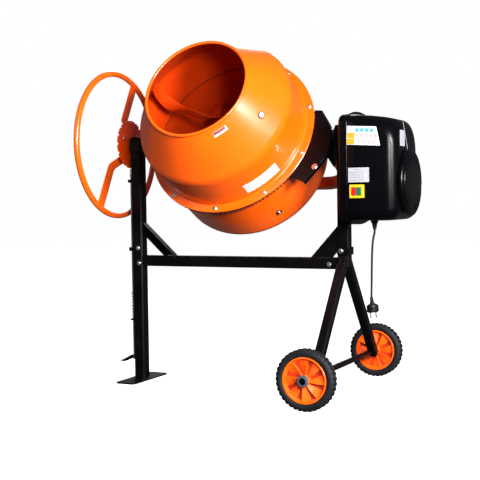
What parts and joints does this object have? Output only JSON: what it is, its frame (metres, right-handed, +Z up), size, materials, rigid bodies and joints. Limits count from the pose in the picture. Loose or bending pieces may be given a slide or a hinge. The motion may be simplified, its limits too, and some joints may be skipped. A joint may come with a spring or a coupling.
{
  "type": "concrete mixer",
  "caption": "Electric drum concrete mixer: a tilting mixing drum in a yoke with handwheel and pedal lock, geared and belt-driven motor unit, on a stand with a foot plate and a pair of wheels.",
  "frame": {"origin": "on the floor, under the middle of the machine", "axes": "+Z up; +X towards the motor side, -X towards the handwheel side; -Y is the side the drum mouth faces and the side of the switch"},
  "size_m": [1.1768, 0.7748, 1.2329],
  "materials": {
    "orange_paint": "gloss orange enamel",
    "black_paint": "satin black paint",
    "black_plastic": "black moulded plastic, slight gloss",
    "bare_steel": "bare machined steel, light oil",
    "zinc": "zinc plated",
    "cast_gear": "cast teeth, greased",
    "rubber": "black rubber",
    "tyre_rubber": "solid tyre, dusty",
    "cord_rubber": "rubber sheathed flex",
    "switch_yellow": "yellow plastic",
    "switch_red": "red plastic",
    "switch_green": "green plastic"
  },
  "bodies": {
    "frame": {"left_leg": "black_paint", "foot_plate": "black_paint", "left_brace": "black_paint", "crossbar": "black_paint", "right_post": "black_paint", "right_brace": "black_paint", "leg_bracket": "black_paint", "front_wheel_leg": "black_paint", "rear_wheel_leg": "black_paint", "axle": "black_paint", "left_bearing_block": "black_paint", "right_bearing_block": "black_paint", "motor_plate": "bare_steel", "motor_body": "bare_steel", "drive_belt": "rubber", "inner_housing": "black_plastic", "outer_housing": "black_plastic", "fan_cover": "black_plastic", "switch_box": "switch_yellow", "cable_gland": "black_plastic", "power_cord": "cord_rubber", "plug": "rubber", "upper_rod_guide": "black_paint", "lower_rod_guide": "black_paint", "spring_seat": "black_paint", "lock_spring": "zinc", "pedal_pin": "zinc"},
    "yoke": {"yoke": "orange_paint", "left_trunnion": "bare_steel", "right_trunnion": "bare_steel", "shaft_bearing": "bare_steel", "locking_disc": "orange_paint", "handwheel_spacer": "bare_steel", "handwheel": "orange_paint", "trunnion_nut": "zinc", "drum_bearing": "cast_gear", "pinion_guard": "black_paint", "guard_bolt": "zinc"},
    "drum": {"drum_upper": "orange_paint", "drum_lower": "orange_paint", "ring_gear": "cast_gear", "mixing_paddle_1": "orange_paint", "mixing_paddle_2": "orange_paint", "drum_hub": "bare_steel"},
    "drive_line": {"pinion": "cast_gear", "drive_shaft": "bare_steel", "large_pulley": "black_plastic"},
    "motor_rotor": {"motor_shaft": "bare_steel", "motor_pulley": "bare_steel", "cooling_fan": "black_plastic"},
    "front_wheel": {"front_tyre": "tyre_rubber", "front_rim": "orange_paint", "front_hub_cap": "zinc"},
    "rear_wheel": {"rear_tyre": "tyre_rubber", "rear_rim": "orange_paint", "rear_hub_cap": "zinc"},
    "lock_rod": {"lock_rod": "zinc"},
    "pedal": {"pedal": "black_paint"},
    "stop_button": {"stop_button": "switch_red"},
    "start_button": {"start_button": "switch_green"}
  },
  "joints": [
    {"name": "drum_tilt", "type": "hinge", "parent": "frame", "child": "yoke", "pos_m": [-0.5, 0, 0.889], "axis": [1, 0, 0], "range_deg": [-45, 67.5]},
    {"name": "drum_spin", "type": "hinge", "parent": "yoke", "child": "drum", "pos_m": [-0.068, 0, 0.889], "axis": [0, -0.8813, 0.4726], "continuous": true},
    {"name": "pinion_spin", "type": "hinge", "parent": "yoke", "child": "drive_line", "pos_m": [0.3, 0, 0.889], "axis": [1, 0, 0], "continuous": true},
    {"name": "motor_spin", "type": "hinge", "parent": "frame", "child": "motor_rotor", "pos_m": [0.45, 0, 0.722], "axis": [1, 0, 0], "continuous": true},
    {"name": "front_wheel_spin", "type": "hinge", "parent": "frame", "child": "front_wheel", "pos_m": [0.34, -0.35, 0.1], "axis": [0, 1, 0], "continuous": true},
    {"name": "rear_wheel_spin", "type": "hinge", "parent": "frame", "child": "rear_wheel", "pos_m": [0.34, 0.35, 0.1], "axis": [0, 1, 0], "continuous": true},
    {"name": "lock_slide", "type": "slide", "parent": "frame", "child": "lock_rod", "axis": [0, 0, 1], "range_m": [0, 0.007], "deforming": ["lock_spring"]},
    {"name": "pedal_hinge", "type": "hinge", "parent": "frame", "child": "pedal", "pos_m": [-0.52, 0.0175, 0.078], "axis": [1, 0, 0], "range_deg": [-23, 0]},
    {"name": "stop_press", "type": "slide", "parent": "frame", "child": "stop_button", "axis": [0, 1, 0], "range_m": [0, 0.003], "stiffness_N_per_m": 400},
    {"name": "start_press", "type": "slide", "parent": "frame", "child": "start_button", "axis": [0, 1, 0], "range_m": [0, 0.003], "stiffness_N_per_m": 400}
  ],
  "couplings": [
    {"joint": "pinion_spin", "follows": "drum_spin", "ratio": -11},
    {"joint": "motor_spin", "follows": "drum_spin", "ratio": -55},
    {"joint": "pedal_hinge", "follows": "lock_slide", "rad_per_m": -57.14}
  ]
}
